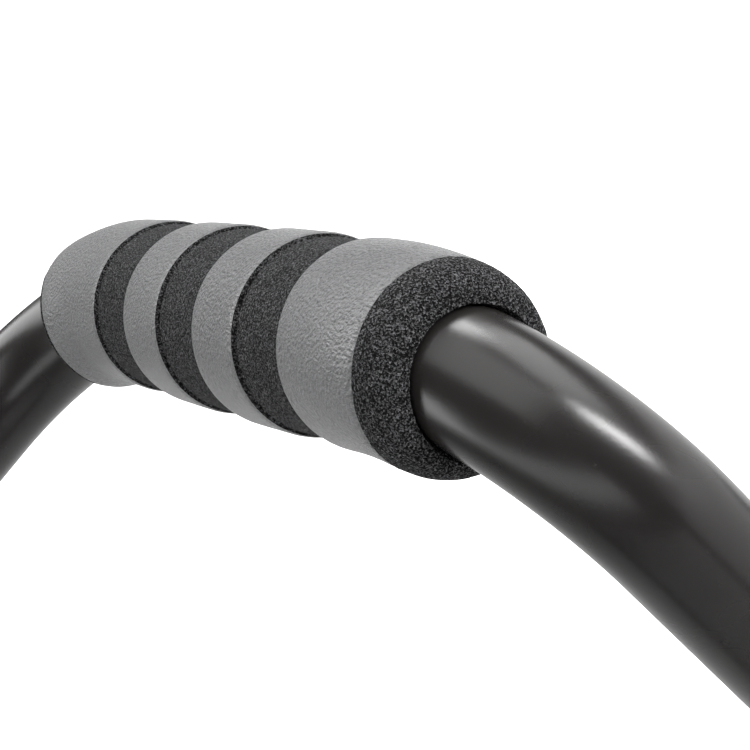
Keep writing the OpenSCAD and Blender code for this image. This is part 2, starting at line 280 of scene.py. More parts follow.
def both_ways(centre, heading, up, ahead, behind, t, ease=None):
    """The same from a centre, along ahead for t >= 0 and behind for t < 0, with one continuous frame."""
    front = follow(centre, heading, up, ahead, np.maximum(t, 0), ease)
    back = follow(centre, -heading, up, behind, np.maximum(-t, 0), ease)
    past = (t < 0)[:, None]
    flips = (1, -1, 1, -1)
    return tuple(np.where(past, flip * b, f) for flip, b, f in zip(flips, back, front, strict=True))


def rings(place, normal, side, radius, around):
    """Rings about a line: place + r (cos f n + sin f b). radius is one number a ring, or a grid."""
    f = np.linspace(0, 2 * math.pi, around, endpoint=False)
    r = np.asarray(radius, float)
    r = r[:, None, None] if r.ndim == 1 else r[:, :, None]
    circle = np.cos(f)[None, :, None] * normal[:, None] + np.sin(f)[None, :, None] * side[:, None]
    return place[:, None] + r * circle


def stations(parts, straight_step, arc_steps):
    """Distances along a line: a few on each straight and arc_steps on each arc."""
    out, at = [0.0], 0.0
    for length, radius, _ in parts:
        steps = arc_steps if radius else max(2, int(length / straight_step))
        out.extend(at + length * np.arange(1, steps + 1) / steps)
        at += length
    return np.array(out)


def bent_tube(name, start, heading, up, parts, wall, around=96):
    """A hollow tube: circles of radius R along the parts, and back inside at R - wall, as one closed wall.
    Each end has a small bevelled rim."""
    s = stations(parts, straight_step=0.03, arc_steps=40)
    rim = 0.0004
    lip, drop = rim * 0.3, rim * 0.7
    s_out = np.concatenate([[lip, rim], s[1:-1], [s[-1] - rim, s[-1] - lip]])
    s_in = s_out[::-1]
    r_out = np.full(len(s_out), TUBE_R)
    r_out[[0, -1]] -= drop
    r_in = np.full(len(s_in), TUBE_R - wall)
    s_all, r_all = np.concatenate([s_out, s_in]), np.concatenate([r_out, r_in])
    place, _, normal, side = follow(start, heading, up, parts, s_all)
    return ring_surface(name, rings(place, normal, side, r_all, around), "joined")


def lathe(name, origin, axis, profile, around=64, lobes=None, ends="capped"):
    """A turned shape: rings o + d a + r (cos f n + sin f b) for the profile's points (d, r) along the axis a.
    lobes(f, d, r) changes the radius around the turn."""
    axis = np.array(axis, float)
    ref = Z if abs(axis[2]) < 0.9 else X
    normal = np.cross(axis, ref)
    normal /= np.linalg.norm(normal)
    side = np.cross(axis, normal)
    profile = np.array(profile, float)
    place = np.array(origin, float) + profile[:, :1] * axis
    radius = profile[:, 1:2] * np.ones((1, around))
    if lobes is not None:
        f = np.linspace(0, 2 * math.pi, around, endpoint=False)
        radius = lobes(f, profile[:, :1], radius)
    m = len(profile)
    grid = rings(place, np.tile(normal, (m, 1)), np.tile(side, (m, 1)), radius, around)
    return ring_surface(name, grid, ends)


def soft_profile(points, radius=0.0008, steps=4):
    """A profile with each inner corner b rounded by the curve (1 - w)^2 p + 2 w (1 - w) b + w^2 q,
    whose ends p and q lie up to the radius away from it."""
    profile = np.array(points, float)
    out = [profile[:1]]
    w = np.linspace(0, 1, steps + 1)[:, None]
    for a, b, c in zip(profile[:-2], profile[1:-1], profile[2:], strict=True):
        before, after = np.linalg.norm(a - b), np.linalg.norm(c - b)
        r = min(radius, 0.45 * before, 0.45 * after)
        p, q = b + (a - b) / before * r, b + (c - b) / after * r
        out.append((1 - w) ** 2 * p + 2 * w * (1 - w) * b + w**2 * q)
    out.append(profile[-1:])
    return np.concatenate(out)


def curve_bead(name, line, out, radius, around=10):
    """A weld bead: circles about a closed line, of radius r (1 + 0.16 cos(2 pi s / pitch)) at the run s.
    out points away from the joint."""
    ripple, pitch = 0.16, 0.0022
    tangent = np.roll(line, -1, 0) - np.roll(line, 1, 0)
    tangent /= np.linalg.norm(tangent, axis=1)[:, None]
    out = out - (out * tangent).sum(1)[:, None] * tangent
    out /= np.linalg.norm(out, axis=1)[:, None]
    side = np.cross(tangent, out)
    run = np.cumsum(np.linalg.norm(np.roll(line, -1, 0) - line, axis=1))
    thickness = radius * (1 + ripple * np.cos(run * 2 * math.pi / pitch))
    return ring_surface(name, rings(line, out, side, thickness, around), "joined")


# ---------------------------------------------------------------- materials


def new_group(name, numbers, outputs):
    """An empty shader group, from a Vector and these numbers to these outputs, and its two end nodes."""
    group = bpy.data.node_groups.new(name, "ShaderNodeTree")
    group.interface.new_socket(name="Vector", in_out="INPUT", socket_type="NodeSocketVector")
    for label, default in numbers.items():
        socket = group.interface.new_socket(name=label, in_out="INPUT", socket_type="NodeSocketFloat")
        socket.default_value = default
    for label in outputs:
        group.interface.new_socket(name=label, in_out="OUTPUT", socket_type="NodeSocketFloat")
    return group, group.nodes.new("NodeGroupInput"), group.nodes.new("NodeGroupOutput")


def feed(tree, node, **results):
    """Links results to a node's sockets, whose names are given with _ for a space."""
    for key, result in results.items():
        tree.links.new(result, node.inputs[key.replace("_", " ")])


def maths(group, operation, first, second):
    """A Math node on two sockets or numbers, and its result."""
    made = group.nodes.new("ShaderNodeMath")
    made.operation = operation
    for k, value in enumerate((first, second)):
        if isinstance(value, (int, float)):
            made.inputs[k].default_value = value
        else:
            group.links.new(value, made.inputs[k])
    return made.outputs[0]


def times(group, first, second):
    """first x second."""
    return maths(group, "MULTIPLY", first, second)


def plus(group, first, second):
    """first + second."""
    return maths(group, "ADD", first, second)


def noise(group, vector, scale, detail=3.0, rough=0.5, warp=0.0):
    """A Noise Texture's value on these coordinates. scale is a number or a socket."""
    made = group.nodes.new("ShaderNodeTexNoise")
    made.inputs["Detail"].default_value = detail
    made.inputs["Roughness"].default_value = rough
    made.inputs["Distortion"].default_value = warp
    group.links.new(vector, made.inputs["Vector"])
    if isinstance(scale, (int, float)):
        made.inputs["Scale"].default_value = scale
    else:
        group.links.new(scale, made.inputs["Scale"])
    return made.outputs["Fac"]


def ramp(group, value, span, gives=(0.0, 1.0)):
    """Stretches the span, given as (low, high), to what it gives, and clamps it."""
    made = group.nodes.new("ShaderNodeMapRange")
    for k, number in enumerate((*span, *gives), 1):
        made.inputs[k].default_value = number
    group.links.new(value, made.inputs[0])
    return made.outputs[0]


def blend_colour(group, share, a, b):
    """Mixes two colours by the share of the second. Each is a socket or a tuple."""
    made = group.nodes.new("ShaderNodeMix")
    made.data_type = "RGBA"
    for socket, value in ((made.inputs[0], share), (made.inputs[6], a), (made.inputs[7], b)):
        if isinstance(value, bpy.types.NodeSocket):
            group.links.new(value, socket)
        else:
            socket.default_value = (*value[:3], 1.0)
    return made.outputs[2]


def shade(base, factor):
    """A colour made darker or paler by a factor."""
    return tuple(c * factor for c in base[:3])


def cell_group():
    """Cut foam: round cells with thin pale walls, and random specks on them painted as glints of light. Gives
    where the painted glints fall, and a height.
    """
    group, start, end = new_group("Foam cells", {"Scale": 1500.0}, ("Wall", "Height"))
    vector, scale = start.outputs["Vector"], start.outputs["Scale"]
    cells = group.nodes.new("ShaderNodeTexVoronoi")
    feed(group, cells, Vector=vector, Scale=scale)
    wall = ramp(group, cells.outputs["Distance"], (0.30, 0.78))
    speck = noise(group, vector, scale, detail=2.0, rough=0.65, warp=0.3)
    # painted glints: random specks where the pale cell walls look lit, a painted highlight rather than a
    # colour of the foam
    glint = ramp(group, speck, (0.47, 0.58))
    painted_glints = times(group, ramp(group, wall, (0.0, 1.0), gives=(0.35, 1.0)), glint)
    height = plus(group, times(group, wall, 0.6), times(group, speck, 0.8))
    feed(group, end, Wall=painted_glints, Height=height)
    return group


def grain_group():
    """Fine grain: stretched wrinkles and small pebbles. Gives a value and a height."""
    group, start, end = new_group("Fine grain", {"Scale": 900.0, "Pebble": 0.5}, ("Value", "Height"))
    vector, scale = start.outputs["Vector"], start.outputs["Scale"]
    coarse = noise(group, vector, scale, detail=4.0, rough=0.62, warp=0.4)
    fine = noise(group, vector, times(group, scale, 2.7), detail=2.0, rough=0.6)
    pebble = group.nodes.new("ShaderNodeTexVoronoi")
    pebble.feature = "SMOOTH_F1"
    feed(group, pebble, Vector=vector, Scale=times(group, scale, 1.25))
    bumps = times(group, pebble.outputs["Distance"], start.outputs["Pebble"])
    value = plus(group, times(group, coarse, 0.6), times(group, fine, 0.4))
    height = plus(group, plus(group, coarse, times(group, fine, 0.35)), bumps)
    feed(group, end, Value=value, Height=height)
    return group


def handling_group():
    """Handling marks: broad smudges and sparse fine specks of dust."""
    group, start, end = new_group("Handling marks", {"Size": 40.0}, ("Smudge", "Dust"))
    vector, size = start.outputs["Vector"], start.outputs["Size"]
    broad = noise(group, vector, size, detail=3.0, rough=0.55, warp=0.6)
    specks = noise(group, vector, times(group, size, 45.0), detail=1.0, rough=0.5)
    feed(group, end, Smudge=ramp(group, broad, (0.35, 0.7)), Dust=ramp(group, specks, (0.74, 0.82)))
    return group


GROUPS = {}


def use(tree, name, vector, **values):
    """Places one of the shared groups in a material."""
    makers = {"cells": cell_group, "grain": grain_group, "marks": handling_group}
    if name not in GROUPS:
        GROUPS[name] = makers[name]()
    made = tree.nodes.new("ShaderNodeGroup")
    made.node_tree = GROUPS[name]
    feed(tree, made, Vector=vector)
    for key, value in values.items():
        made.inputs[key].default_value = value
    return made.outputs


def new_material(name, roughness=0.5, **sockets):
    """A Principled material, its tree, shader and Object coordinates."""
    material = bpy.data.materials.new(name)
    material.use_nodes = True
    tree = material.node_tree
    shader = tree.nodes["Principled BSDF"]
    shader.inputs["Roughness"].default_value = roughness
    for key, value in sockets.items():
        shader.inputs[key.replace("_", " ")].default_value = value
    place = tree.nodes.new("ShaderNodeTexCoord").outputs["Object"]
    return material, tree, shader, place


def bump(tree, shader, height, strength, distance):
    """Feeds a height to the shader's normal."""
    made = tree.nodes.new("ShaderNodeBump")
    made.inputs["Strength"].default_value = strength
    made.inputs["Distance"].default_value = distance
    feed(tree, made, Height=height)
    feed(tree, shader, Normal=made.outputs["Normal"])


def paint_material(base):
    """Gloss black powder coat: a faint orange peel, soft smudges and a little dust."""
    material, tree, shader, place = new_material("gloss black paint", 0.24, Specular_IOR_Level=0.36)
    grain = use(tree, "grain", place, Scale=420.0, Pebble=0.15)
    marks = use(tree, "marks", place, Size=22.0)
    tinted = blend_colour(tree, marks["Smudge"], base, shade(base, 1.5))
    dusty = blend_colour(tree, times(tree, marks["Dust"], 0.08), tinted, (0.12, 0.11, 0.10))
    gloss = ramp(tree, marks["Smudge"], (0.0, 1.0), gives=(0.25, 0.32))
    feed(tree, shader, Base_Color=dusty, Roughness=gloss)
    bump(tree, shader, grain["Height"], strength=0.05, distance=0.0004)
    return material


def skin_material(base):
    """Grey foam skin: satin, finely wrinkled, a little paler where it is worn."""
    material, tree, shader, place = new_material("grey foam skin", 0.36, Specular_IOR_Level=0.5)
    grain = use(tree, "grain", place, Scale=1150.0, Pebble=0.7)
    marks = use(tree, "marks", place, Size=30.0)
    wrinkle = ramp(tree, grain["Value"], (0.36, 0.64))
    tone = blend_colour(tree, wrinkle, shade(base, 0.70), shade(base, 1.30))
    worn = blend_colour(tree, times(tree, marks["Smudge"], 0.30), tone, shade(base, 1.25))
    gloss = ramp(tree, grain["Value"], (0.35, 0.65), gives=(0.42, 0.24))
    feed(tree, shader, Base_Color=worn, Roughness=gloss)
    bump(tree, shader, grain["Height"], strength=1.0, distance=0.0032)
    return material


def core_material(base):
    """Ground black foam: open cells, whose small pale walls carry painted glints of light."""
    material, tree, shader, place = new_material("black foam core", 0.9, Specular_IOR_Level=0.10)
    cells = use(tree, "cells", place, Scale=2300.0)
    broad = use(tree, "marks", place, Size=60.0)
    dark = blend_colour(tree, broad["Smudge"], shade(base, 0.12), shade(base, 0.3))
    # the pale colour, nine and a half times the base, is painted glints of light on the cell walls
    feed(tree, shader, Base_Color=blend_colour(tree, cells["Wall"], dark, shade(base, 9.5)))
    bump(tree, shader, cells["Height"], strength=1.0, distance=0.0007)
    return material


def plastic_material(base):
    """Moulded black plastic with a spark texture."""
    material, tree, shader, place = new_material("moulded black plastic", 0.45, Specular_IOR_Level=0.45)
    grain = use(tree, "grain", place, Scale=1400.0, Pebble=0.8)
    marks = use(tree, "marks", place, Size=35.0)
    tone = blend_colour(tree, marks["Smudge"], base, shade(base, 1.6))
    gloss = ramp(tree, grain["Value"], (0.35, 0.65), gives=(0.38, 0.54))
    feed(tree, shader, Base_Color=tone, Roughness=gloss)
    bump(tree, shader, grain["Height"], strength=0.25, distance=0.0002)
    return material


def rubber_material(base):
    """Black rubber: dull, slightly dusty."""
    material, tree, shader, place = new_material("black rubber", 0.72, Specular_IOR_Level=0.35)
    grain = use(tree, "grain", place, Scale=700.0, Pebble=0.3)
    marks = use(tree, "marks", place, Size=50.0)
    dusty = blend_colour(tree, times(tree, marks["Smudge"], 0.4), base, (0.06, 0.058, 0.055))
    gloss = ramp(tree, grain["Value"], (0.3, 0.7), gives=(0.62, 0.82))
    feed(tree, shader, Base_Color=dusty, Roughness=gloss)
    bump(tree, shader, grain["Height"], strength=0.3, distance=0.0002)
    return material


def zinc_material(base):
    """Zinc plated steel with a cloudy bloom."""
    material, tree, shader, place = new_material("zinc plated steel", 0.34, Metallic=1.0)
    grain = use(tree, "grain", place, Scale=500.0, Pebble=0.2)
    marks = use(tree, "marks", place, Size=120.0)
    bloom = blend_colour(tree, marks["Smudge"], base, shade(base, 0.72))
    gloss = ramp(tree, grain["Value"], (0.3, 0.7), gives=(0.26, 0.44))
    feed(tree, shader, Base_Color=bloom, Roughness=gloss)
    bump(tree, shader, grain["Height"], strength=0.08, distance=0.0002)
    return material


def floor_material(base):
    """Matt pale floor. Gloss paint mirrors it as if it lay in shade, deeper towards +X."""
    material, tree, shader, place = new_material("studio floor", 0.8, Specular_IOR_Level=0.1)
    tone = blend_colour(tree, noise(tree, place, 3.0, detail=2.0), base, shade(base, 0.985))
    path = tree.nodes.new("ShaderNodeLightPath")
    apart = tree.nodes.new("ShaderNodeSeparateXYZ")
    feed(tree, apart, Vector=place)
    depth = ramp(tree, apart.outputs["X"], (-2.0, 1.2), gives=(0.15, 1.0))
    shaded = times(tree, path.outputs["Is Glossy Ray"], depth)
    feed(tree, shader, Base_Color=blend_colour(tree, shaded, tone, shade(base, 0.06)))
    return material


MATERIALS = {}


def finish_of(slot):
    """The material of a slot, made once from the scene's colours."""
    look = bpy.context.scene.bar_finish
    makers = {
        "black_paint": (paint_material, look.paint),
        "foam_skin": (skin_material, look.foam_skin),
        "grip_foam": (core_material, look.foam_core),
        "black_plastic": (plastic_material, look.plastic),
        "black_rubber": (rubber_material, look.rubber),
        "zinc_steel": (zinc_material, look.zinc),
    }
    if slot not in MATERIALS:
        maker, base = makers[slot]
        MATERIALS[slot] = maker(tuple(base))
    return MATERIALS[slot]


def dress(piece, body, slot, *stands_for, materials=None):
    """Gives a piece its finish and the body that it rides on, and hides the CAD nodes that it stands for."""
    for name in materials or (slot,):
        piece.data.materials.append(finish_of(name))
    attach(piece, body)
    if stands_for:
        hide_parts(*stands_for)


def sharp_edges(piece, degrees=40):
    """Keeps the edges sharp where two faces meet at more than this angle."""
    piece.data.set_sharp_from_angle(angle=math.radians(degrees))


# ---------------------------------------------------------------- foam grips

# gap between the tube and the foam's mouth, and how tightly the bore inside it holds the tube
MOUTH_GAP, SQUEEZE = 0.0009, 0.0006
# the bore starts this far inside each end
BORE_START = 0.0035
# the ground foam reaches this far back from each end at least
BARE_END = 0.004
# length of side foam that a bend slants
SLANT_REACH = 0.045
# points round the foam, and the height of its surface grain on ground foam and on skin
FOAM_AROUND = 168
CORE_GRAIN, SKIN_GRAIN = 0.00007, 0.000012


def foam_outline(t, half, sizes, pinch):
    """Radius of the foam before its grooves: R - pinch q^2 with q = t / half, and over the nose at each end
    r0 + (R - r0) (1 - (1 - u)^2.5)^(1/2.2), where u runs from 0 at the end to 1 where the rounding starts."""
    u = np.clip((half - np.abs(t)) / sizes.nose, 0, 1)
    full = sizes.radius - pinch * (t / half) ** 2
    inner = TUBE_R + MOUTH_GAP
    return inner + (full - inner) * (1 - (1 - u) ** 2.5) ** (1 / 2.2)


def foam_stripes(count, centre, half, sizes, to_end=False):
    """Places of the stripe edges: count stripes about centre and a grey end band on each side.
    With to_end the first end band runs on to the bare end."""
    inner = centre + (np.arange(count + 1) - count / 2) * sizes.band
    last = min(inner[-1] + sizes.end_band, half - BARE_END)
    first = BARE_END - half
    if not to_end:
        first = max(inner[0] - sizes.end_band, first)
    return np.concatenate([[first], inner, [last]])


def foam_section(half, edges, sizes, pinch):
    """Stations and radii along the foam, and whether each ring is on ground foam.
    Stripes are ground and grey in turn, from one bare end to the other. A ground one lies deeper by the
    groove, and at the distance x from its edge each stripe dips by a further d exp(-(x / w)^2)."""
    step, lip = 0.0009, 0.00018
    t, deep, bare = [], [], []
    marks = np.concatenate([[-half], edges, [half]])
    last = len(marks) - 2
    for k, (a, b) in enumerate(zip(marks[:-1], marks[1:], strict=True)):
        ground = k % 2 == 0
        w = np.linspace(0, 1, max(6, int((b - a) / step)) + 1)
        if k == 0:
            w = w**2
        elif k == last:
            w = 1 - (1 - w) ** 2
        start, stop = a + lip * (k > 0), b - lip * (k < last)
        part = start + w * (stop - start)
        dip = np.zeros(len(part))
        if 0 < k < last:
            near = np.minimum(part - part[0], part[-1] - part)
            depth, width = (0.0007, 0.0005) if ground else (0.00035, 0.0007)
            dip = (sizes.groove if ground else 0.0) + depth * np.exp(-((near / width) ** 2))
        t.append(part)
        deep.append(dip)
        bare.append(np.full(len(part), ground))
    t, deep, bare = np.concatenate(t), np.concatenate(deep), np.concatenate(bare)
    return t, foam_outline(t, half, sizes, pinch) - deep, bare


def slanted_rings(line, t, radius, half, slant):
    """Rings whose stations slide by -slant w cos f, where w = clip((t - half + reach) / reach, 0, 1)^2.
    It pushes back the leg end, whose outside of the bend is at f = 0."""
    around = radius.shape[1]
    f = np.linspace(0, 2 * math.pi, around, endpoint=False)
    near = np.clip((t - half + SLANT_REACH) / SLANT_REACH, 0, 1) ** 2
    moved = t[:, None] - slant * near[:, None] * np.cos(f)[None, :]
    place, _, normal, side = line(moved.ravel())
    turn = np.tile(f, len(t))
    grid = place + radius.ravel()[:, None] * (np.cos(turn)[:, None] * normal + np.sin(turn)[:, None] * side)
    return grid.reshape(len(t), around, 3)


def foam_grip(name, node_name, line, half, edges, sizes, seed, pinch=0.0, slant=0.0):
    """One foam grip: its outer section and a plain bore, swept along line(t) as one closed wall."""
    t, r, bare = foam_section(half, edges, sizes, pinch)
    rng = np.random.default_rng(seed)
    rough = rng.normal(0, 1, (len(t), FOAM_AROUND))
    rough = (rough + np.roll(rough, 1, 1) + np.roll(rough, 1, 0)) / 3
    radius = r[:, None] + rough * np.where(bare, CORE_GRAIN, SKIN_GRAIN)[:, None]
    bore_t = np.linspace(half - BORE_START, BORE_START - half, 60)
    bore = np.full((len(bore_t), FOAM_AROUND), TUBE_R - SQUEEZE)
    t_all = np.concatenate([t, bore_t])
    grid = slanted_rings(line, t_all, np.concatenate([radius, bore]), half, slant)
    rows = np.ones(len(t_all), int)
    rows[: len(t) - 1] = bare[:-1] | bare[1:]
    piece = ring_surface(name, grid, "joined", rows)
    dress(piece, "front_frame", "grip_foam", node_name, materials=("foam_skin", "grip_foam"))
    sharp_edges(piece, 50)


def settle(angle):
    """The foam's end turns a little less than the tube inside it: m tanh(a / m), never past m."""
    most = 0.66
    return most * np.tanh(angle / most)


class BAR_OT_grips(bpy.types.Operator):
    """Foam grips on the handles, the front of the loop and the ends of the wide bar"""

    bl_idname = "bar.grips"
    bl_label = "Foam grips"

    def execute(self, context):
        sizes, bend = context.scene.bar_grips, context.scene.bar_frame.bend
        rear, front = LEG_Y - bend, FRONT_Y + bend
        past_foam, short_end = straight(1.0), 0.0110
        for name, sign in SIDES:
            centre = np.array([sign * SIDE_X, (rear + front) / 2 + sizes.shift, HANDLE_Z])
            ahead = [straight(rear - centre[1]), arc(QUARTER, bend, -Z), past_foam]
            behind = [straight(centre[1] - front), arc(QUARTER, bend, -sign * X), past_foam]

            def side_line(t, centre=centre, ahead=ahead, behind=behind):
                return both_ways(centre, Y, Z, ahead, behind, t, settle)

            half, ends = sizes.half, {"pinch": sizes.pinch, "slant": sizes.slant}
            edges = foam_stripes(5, sizes.stripes, half, sizes, to_end=True)
            foam_grip(name + "_side_foam", name + "_side_grip", side_line, half, edges, sizes, seed=3, **ends)
            for kind, along in (("front", X * sign), ("wide", np.array([sign * END_COS, -END_SIN, 0]))):
                node_name = name + "_" + kind + "_grip"
                spot = middle(node_name)
                half = 2.5 * sizes.band + short_end

                def plain_line(t, spot=spot, along=along):
                    return both_ways(spot, along, Z, [past_foam], [past_foam], t)

                edges = foam_stripes(3, 0.0, half, sizes)
                foam_grip(name + "_" + kind + "_foam", node_name, plain_line, half, edges, sizes, seed=5)
        return {"FINISHED"}


# ---------------------------------------------------------------- tubes


def wide_end(tubes, sign):
    """Centre of one end of the wide bar, and the length of the sloping straight that leads to it."""
    shoulder = tubes.wide_straight / 2 + tubes.wide_bend * END_SIN
    reach = float(WIDE_HI[0]) - TUBE_R * END_SIN
    slope = (reach - shoulder) / END_COS
    forward = WIDE_Y - tubes.wide_bend * (1 - END_COS) - slope * END_SIN
    return np.array([sign * reach, forward, WIDE_Z]), slope


class BAR_OT_tubes(bpy.types.Operator):
    """Handle loop, wide bar and arms, as smooth bent tubes"""

    bl_idname = "bar.tubes"
    bl_label = "Frame tubes"

    def execute(self, context):
        tubes = context.scene.bar_frame
        bend, wall = tubes.bend, tubes.wall
        foot = float(LOOP_LO[2])
        leg = straight(HANDLE_Z - bend - foot)
        handle = straight(LEG_Y - FRONT_Y - 2 * bend)
        cross = straight(2 * (SIDE_X - bend))
        loop = [leg, arc(QUARTER, bend, -Y), handle, arc(QUARTER, bend, X), cross]
        loop += [arc(QUARTER, bend, Y), handle, arc(QUARTER, bend, -Z), leg]
        piece = bent_tube("handle_loop", [-SIDE_X, LEG_Y, foot], Z, X, loop, wall)
        dress(piece, "front_frame", "black_paint", "handle_loop_tube")
        left, slope = wide_end(tubes, -1)
        out, away = np.array([END_COS, END_SIN, 0]), np.array([END_SIN, -END_COS, 0])
        turn = math.asin(END_SIN)
        wide = [straight(slope), arc(turn, tubes.wide_bend, away), straight(tubes.wide_straight)]
        wide += [arc(turn, tubes.wide_bend, -Y), straight(slope)]
        piece = bent_tube("wide_bar", left, out, Z, wide, wall)
        dress(piece, "front_frame", "black_paint", "wide_bar_tube")
        low = float(ARM_LO[1])
        upright = straight(float(ARM_HI[2]) - ARM_Z - bend)
        arm = [straight(HOOK_Y - bend - low), arc(QUARTER, bend, Z), upright]
        for name, sign in SIDES:
            piece = bent_tube(name + "_arm", [sign * SIDE_X, low, ARM_Z], Y, X, arm, wall, 72)
            dress(piece, "hook_frame", "black_paint", name + "_arm_tube")
        return {"FINISHED"}


# ---------------------------------------------------------------- fittings


def end_cap(name, body, node_name, end, out, bore):
    """A domed plug: a skirt in the bore, and a head a little wider than the tube."""
    head = TUBE_R + 0.0008
    profile = [(-0.014, 0.004), (-0.014, bore - 0.0005), (0.0, bore - 0.0003), (0.0, head), (0.0014, head)]
    profile += [(0.0026, TUBE_R - 0.0012), (0.0034, TUBE_R - 0.0045), (0.0038, 0.005)]
    dress(lathe(name, end, out, soft_profile(profile)), body, "black_plastic", node_name)


def sleeve_end(name, sign):
    """A flat plug with a dished face in the front mouth of a sleeve."""
    lo, hi = corners(name + "_sleeve_plug")
    radius, flange = float(hi[0] - lo[0]) / 2, 0.004
    mouth = [sign * SIDE_X, float(lo[1]) + flange, ARM_Z]
    profile = [(-0.008, 0.004), (-0.008, TUBE_R - 0.0006), (0.0, TUBE_R - 0.0002), (0.0, radius)]
    profile += [(0.0024, radius), (0.0036, radius - 0.0022), (0.0036, 0.008)]
    profile += [(0.0030, 0.0066), (0.0030, 0.003)]
    plug = lathe(name + "_sleeve_end", mouth, -Y, soft_profile(profile))
    dress(plug, "front_frame", "black_plastic", name + "_sleeve_plug")


def collar(name, sign):
    """A fluted collar round the arm where it leaves the sleeve."""
    lo, hi = corners(name + "_sleeve_collar")
    outer, length = float(hi[0] - lo[0]) / 2, float(hi[1] - lo[1])
    inner, step = TUBE_R + 0.0001, length - 0.0058
    flute, smooth_end, skin = 0.0005, 0.002, 0.0004

    def grip_ribs(f, along, radius):
        """Small flutes on the outside: r - 0.5 mm |sin 14 f|^3."""
        outside = (radius > outer - skin) & (along > smooth_end) & (along < length - smooth_end)
        return radius - np.where(outside, flute, 0.0) * np.abs(np.sin(14 * f))[None, :] ** 3

    profile = [(0.0, outer - 0.0025), (0.0, outer - 0.0005), (0.0012, outer), (0.0024, outer), (0.007, outer)]
    profile += [(length - 0.0024, outer), (length - 0.0012, outer), (length, outer - 0.0012)]
    profile += [(length, inner), (step, inner), (step, outer - 0.0025)]
    base = [sign * SIDE_X, float(lo[1]), ARM_Z]
    piece = lathe(name + "_collar", base, Y, profile, 168, grip_ribs, "joined")
    dress(piece, "front_frame", "black_plastic", name + "_sleeve_collar")
    sharp_edges(piece, 35)


class BAR_OT_caps(bpy.types.Operator):
    """Plastic caps and plugs on the open tube ends, and the collars at the sleeves"""

    bl_idname = "bar.caps"
    bl_label = "Caps and collars"

    def execute(self, context):
        tubes = context.scene.bar_frame
        bore = TUBE_R - tubes.wall
        for name, sign in SIDES:
            top = np.array([sign * SIDE_X, HOOK_Y, float(ARM_HI[2])])
            end_cap(name + "_top_cap", "hook_frame", name + "_arm_top_cap", top, Z, bore)
            out = np.array([sign * END_COS, -END_SIN, 0])
            end = wide_end(tubes, sign)[0]
            end_cap(name + "_bar_cap", "front_frame", name + "_wide_end_cap", end, out, bore)
            sleeve_end(name, sign)
            collar(name, sign)
        return {"FINISHED"}


def clamp_knob(name, sign):
    """A lobed knob head on its neck, with a shallow dish in its face."""
    lo, hi = corners(name + "_knob_head")
    centre = middle(name + "_knob_head")
    foot = hi[0] if sign > 0 else lo[0]
    depth, reach = float(hi[0] - lo[0]), float(hi[2] - lo[2]) / 2

    def lobes(f, along, radius):
        """Six soft lobes: r (1 - 0.17 k (1 - w^0.7)), w = (1 + cos 6 f) / 2. k fades out on the neck."""
        fade = np.clip((radius - 0.009) / 0.004, 0, 1)
        wave = 0.5 + 0.5 * np.cos(6 * f)[None, :]
        return radius * (1 - 0.17 * fade * (1 - wave**0.7))

    profile = [(0, 0.0042), (0, 0.0078), (0.0040, 0.0080), (0.0052, reach - 0.003), (0.0070, reach - 0.0004)]
    profile += [(0.012, reach), (depth - 0.002, reach - 0.0010), (depth - 0.0004, reach - 0.0034)]
    profile += [(depth - 0.0002, 0.010), (depth - 0.0012, 0.0085), (depth - 0.0014, 0.002)]
    origin = np.array([foot, centre[1], centre[2]])
    knob = lathe(name + "_knob_grip", origin, -sign * X, soft_profile(profile, 0.0014, 5), 120, lobes)
    dress(knob, name + "_knob", "black_plastic", name + "_knob_head")
    sharp_edges(knob, 60)


class BAR_OT_knobs(bpy.types.Operator):
    """Lobed clamp knobs"""

    bl_idname = "bar.knobs"
    bl_label = "Clamp knobs"

    def execute(self, context):
        for name, sign in SIDES:
            clamp_knob(name, sign)
        return {"FINISHED"}


def soft_square(count, half_w, half_h, corner):
    """Points round a square with soft corners: r = (|cos f|^6 + |sin f|^6)^(-1/6) times the half sides,
    drawn in by 4% of the corner radius over the smaller half side."""
    f = np.linspace(0, 2 * math.pi, count, endpoint=False)
    c, s = np.cos(f), np.sin(f)
    r = (np.abs(c) ** 6 + np.abs(s) ** 6) ** (-1 / 6) * (1 - 0.04 * corner / min(half_w, half_h))
    return np.stack([half_w * r * c, half_h * r * s], -1)


def door_pad(name):
    """A rubber door pad: a soft square whose outline is scaled ring by ring, round its rim and then in over
    its face, where ribs run across: a groove of 1.6 mm clip(2.2 cos(2 pi z / pitch) - 0.9, 0, 1)."""
    count, inner, pitch = 240, 90, 0.0064
    lo, hi = corners(name + "_pad_rubber")
    centre, depth = (lo + hi) / 2, float(hi[1] - lo[1])
    outline = soft_square(count, (hi[0] - lo[0]) / 2, (hi[2] - lo[2]) / 2, 0.006)
    rim = [(0.0, 0.985), (0.0006, 1.0), (0.005, 0.992)]
    rim += [(depth - 0.004, 1.0), (depth - 0.0022, 0.996), (depth - 0.0009, 0.982)]
    rise, inset = np.array(rim).T
    scale = np.concatenate([inset, np.linspace(0.965, 0.02, inner)])
    grid = np.zeros((len(scale), count, 3))
    grid[:, :, 0] = centre[0] + scale[:, None] * outline[None, :, 0]
    grid[:, :, 2] = centre[2] + scale[:, None] * outline[None, :, 1]
    grid[:, :, 1] = lo[1] + np.concatenate([rise, np.full(inner, depth)])[:, None]
    face = grid[len(rim) :]
    edge = np.clip((0.97 - scale[len(rim) :, None]) / 0.08, 0, 1)
    wave = np.cos((face[:, :, 2] - centre[2]) * 2 * math.pi / pitch)
    face[:, :, 1] -= 0.0016 * np.clip(wave * 2.2 - 0.9, 0, 1) * edge
    pad = ring_surface(name + "_door_pad", grid, "capped")
    dress(pad, name + "_pad", "black_rubber", name + "_pad_rubber")
    sharp_edges(pad, 50)


